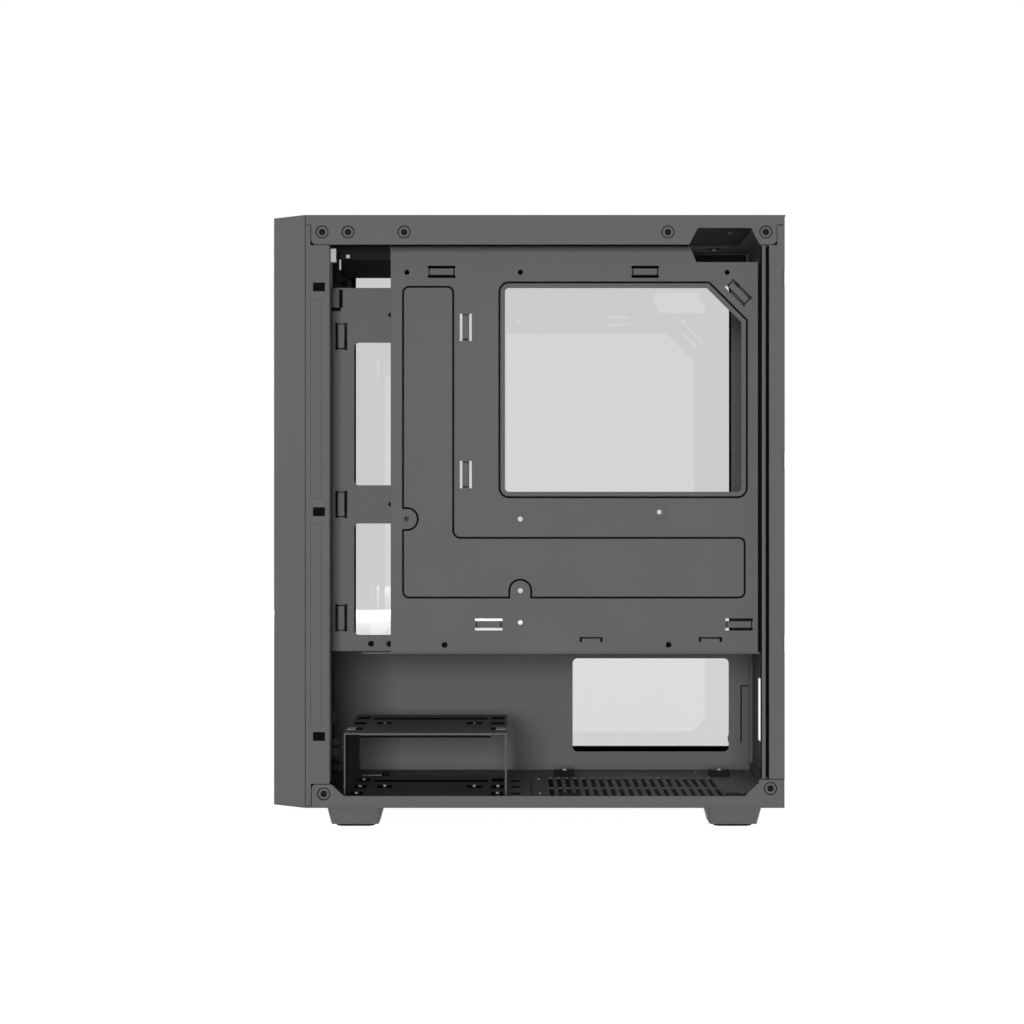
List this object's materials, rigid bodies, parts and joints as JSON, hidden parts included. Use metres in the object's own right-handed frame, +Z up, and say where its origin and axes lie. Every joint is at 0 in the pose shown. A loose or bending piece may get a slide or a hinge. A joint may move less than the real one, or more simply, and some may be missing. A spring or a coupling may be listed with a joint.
{
  "type": "computer case",
  "caption": "Compact tower computer case with feet, glass side and drive cage, shown without its right side panel.",
  "frame": {"origin": "middle of the overall width and depth, on the ground under the feet", "axes": "+Z up; the front faces -Y, the rear faces +Y, the open side faces +X and the glass side faces -X"},
  "size_m": [0.2152, 0.3366, 0.385],
  "materials": {
    "grey_steel": "even dark grey powder coat, fine orange peel, half matt",
    "tinted_glass": "clear tempered glass, lightly tinted grey, polished",
    "soft_rubber": "matt black rubber",
    "foot_plastic": "moulded grey plastic, fine grain",
    "bezel_plastic": "moulded dark grey plastic, fine grain, matched to the steel",
    "button_plastic": "black plastic, satin",
    "black_screw": "black zinc, satin, knurled edge",
    "port_shell": "bright plated shell",
    "connector_plastic": "black moulded plastic",
    "filter_cloth": "fine black nylon weave",
    "circuit_board": "dark green board with solder resist"
  },
  "bodies": {
    "case": {"board_tray": "grey_steel", "cable_plate": "grey_steel", "data_port_1": "port_shell", "data_port_2": "port_shell", "drive_cage": "grey_steel", "floor": "grey_steel", "floor_filter": "filter_cloth", "foot_1": "foot_plastic", "foot_2": "foot_plastic", "foot_3": "foot_plastic", "foot_4": "foot_plastic", "foot_sole_1": "soft_rubber", "foot_sole_2": "soft_rubber", "foot_sole_3": "soft_rubber", "foot_sole_4": "soft_rubber", "front_bezel": "bezel_plastic", "front_post": "grey_steel", "front_sheet": "grey_steel", "glass_panel": "tinted_glass", "glass_ring_1": "soft_rubber", "glass_ring_2": "soft_rubber", "glass_ring_3": "soft_rubber", "glass_ring_4": "soft_rubber", "glass_screw_1": "black_screw", "glass_screw_2": "black_screw", "glass_screw_3": "black_screw", "glass_screw_4": "black_screw", "header_block_1": "connector_plastic", "header_block_2": "connector_plastic", "intake_mesh": "grey_steel", "port_board": "circuit_board", "port_bracket": "grey_steel", "power_switch": "connector_plastic", "rear_post": "grey_steel", "rear_sheet": "grey_steel", "reset_switch": "connector_plastic", "roof": "grey_steel", "roof_filter": "filter_cloth", "slot_cover_1": "grey_steel", "slot_cover_2": "grey_steel", "slot_cover_3": "grey_steel", "slot_cover_4": "grey_steel", "sound_jack_1": "connector_plastic", "sound_jack_2": "connector_plastic", "supply_cover": "grey_steel", "supply_rest_1": "soft_rubber", "supply_rest_2": "soft_rubber", "supply_rest_3": "soft_rubber", "supply_rest_4": "soft_rubber", "tab_cover": "grey_steel"},
    "power_button": {"power_button": "button_plastic"},
    "reset_button": {"reset_button": "button_plastic"}
  },
  "joints": [
    {"name": "power_press", "type": "slide", "parent": "case", "child": "power_button", "axis": [0, 0, -1], "range_m": [0, 0.0015], "stiffness_N_per_m": 600, "springref_m": -0.0005},
    {"name": "reset_press", "type": "slide", "parent": "case", "child": "reset_button", "axis": [0, 0, -1], "range_m": [0, 0.0015], "stiffness_N_per_m": 600, "springref_m": -0.0005}
  ]
}
